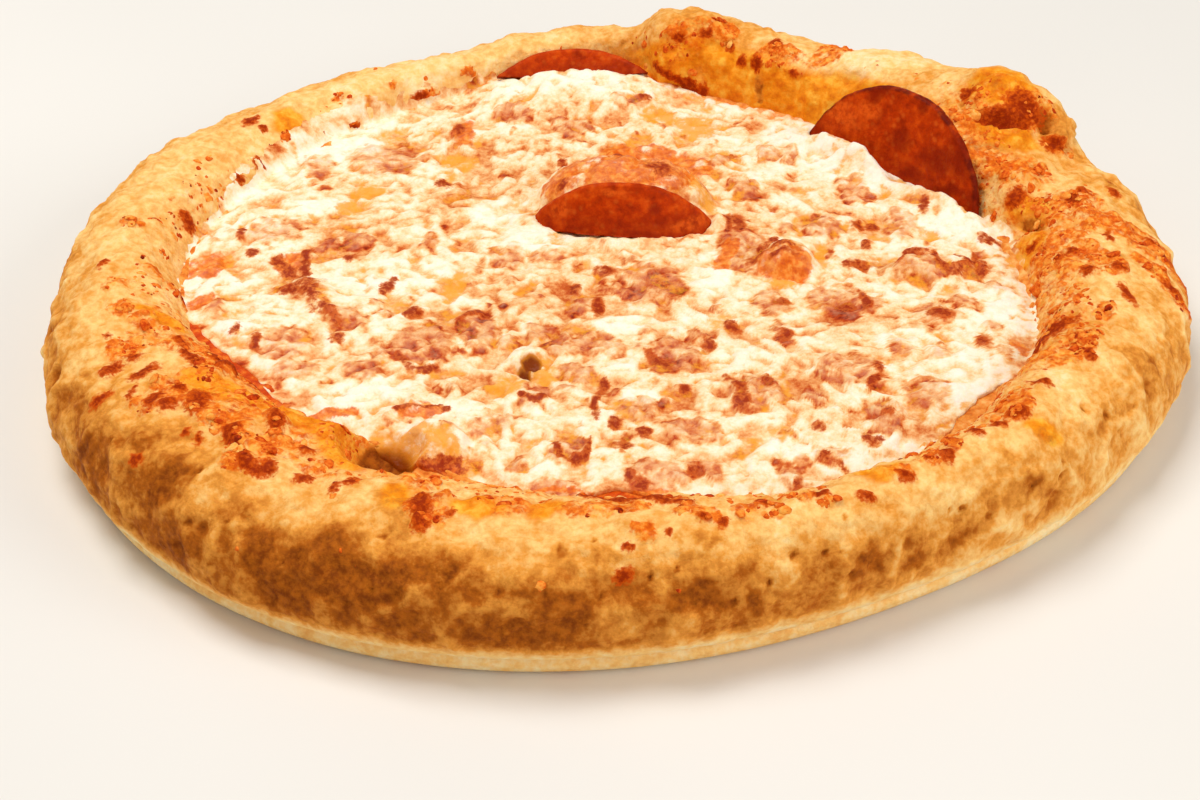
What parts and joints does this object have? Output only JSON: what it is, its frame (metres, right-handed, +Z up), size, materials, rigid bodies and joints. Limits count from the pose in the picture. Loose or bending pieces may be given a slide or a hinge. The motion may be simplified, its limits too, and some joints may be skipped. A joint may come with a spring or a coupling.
{
  "type": "pan pizza",
  "caption": "Whole deep-pan pizza with a tall puffed rim, browned melted cheese and salami slices standing in it.",
  "frame": {"origin": "centre of the bounding box, on the flat underside the pizza rests on", "axes": "+Z up, -Y towards the pizza's front, +X to its right"},
  "size_m": [0.3046, 0.282, 0.0453],
  "materials": {
    "dough": "baked, matte",
    "sauce": "wet",
    "cheese": "melted, oily",
    "salami": "oily"
  },
  "bodies": {
    "root": {"crust": "dough", "sauce": "sauce", "cheese": "cheese", "salami_middle": "salami", "salami_back_right": "salami", "salami_back_left": "salami"}
  },
  "joints": []
}
